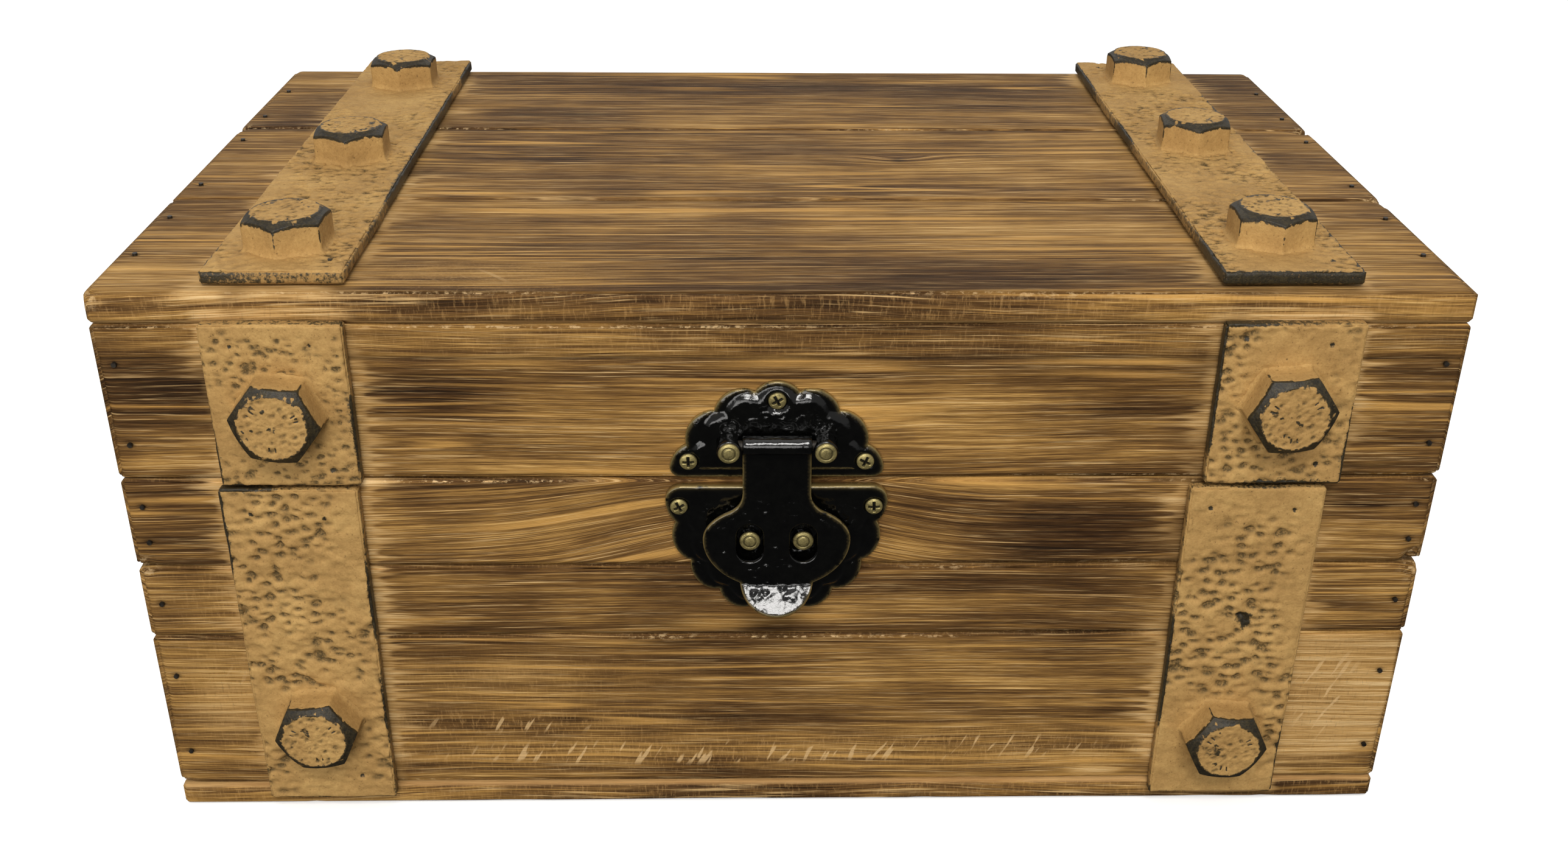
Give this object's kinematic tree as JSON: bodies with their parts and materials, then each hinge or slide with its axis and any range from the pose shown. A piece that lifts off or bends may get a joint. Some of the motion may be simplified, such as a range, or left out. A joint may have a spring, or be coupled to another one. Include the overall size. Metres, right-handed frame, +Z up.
{
  "type": "wooden keepsake chest",
  "caption": "Small planked pine chest with a hinged lid, iron-look straps with hex bolts, and a scalloped hasp latch on the front.",
  "frame": {"origin": "on the underside, at the centre of the wooden box's footprint", "axes": "+X to the right along the front, +Y from the front to the rear, +Z up"},
  "size_m": [0.32, 0.2156, 0.1605],
  "materials": {
    "burnt_pine": "burnt and brushed pine, satin lacquer",
    "strap_ochre": "ochre paint over a hammered casting, dark rub in the hollows",
    "bolt_ochre": "ochre paint worn to dark charcoal along the edges",
    "latch_enamel": "gloss black enamel rubbed to brass on its edges",
    "antique_brass": "antique brass",
    "hinge_brass": "dull antique brass",
    "dark_steel": "darkened steel"
  },
  "bodies": {
    "base": {"base_board": "burnt_pine", "front_lower_plank": "burnt_pine", "front_middle_plank": "burnt_pine", "front_upper_plank": "burnt_pine", "rear_lower_plank": "burnt_pine", "rear_middle_plank": "burnt_pine", "rear_upper_plank": "burnt_pine", "left_lower_plank": "burnt_pine", "left_middle_plank": "burnt_pine", "left_upper_plank": "burnt_pine", "right_lower_plank": "burnt_pine", "right_middle_plank": "burnt_pine", "right_upper_plank": "burnt_pine", "left_body_strap": "strap_ochre", "right_body_strap": "strap_ochre", "body_strap_bolts": "bolt_ochre", "latch_lower_plate": "latch_enamel", "latch_studs": "antique_brass", "latch_lower_screws": "antique_brass", "left_hinge_body_leaf": "hinge_brass", "right_hinge_body_leaf": "hinge_brass", "hinge_pins": "hinge_brass", "hinge_body_screws": "hinge_brass", "body_brads": "dark_steel"},
    "lid": {"lid_front_board": "burnt_pine", "lid_rear_board": "burnt_pine", "lid_left_board": "burnt_pine", "lid_right_board": "burnt_pine", "top_front_plank": "burnt_pine", "top_middle_plank": "burnt_pine", "top_rear_plank": "burnt_pine", "left_lid_strap": "strap_ochre", "right_lid_strap": "strap_ochre", "lid_strap_bolts": "bolt_ochre", "left_top_strap": "strap_ochre", "right_top_strap": "strap_ochre", "top_strap_bolts": "bolt_ochre", "latch_upper_plate": "latch_enamel", "latch_upper_screws": "antique_brass", "hasp_rivets": "antique_brass", "hasp_pin": "dark_steel", "left_hinge_lid_leaf": "hinge_brass", "right_hinge_lid_leaf": "hinge_brass", "hinge_lid_screws": "hinge_brass", "lid_brads": "dark_steel"},
    "hasp": {"hasp": "latch_enamel"}
  },
  "joints": [
    {"name": "lid_hinge", "type": "hinge", "parent": "base", "child": "lid", "pos_m": [0, 0.0995, 0.0996], "axis": [-1, 0, 0], "range_deg": [0, 100]},
    {"name": "hasp_hinge", "type": "hinge", "parent": "lid", "child": "hasp", "pos_m": [-0.002, -0.1022, 0.1115], "axis": [-1, 0, 0], "range_deg": [-3.9, 165]}
  ]
}
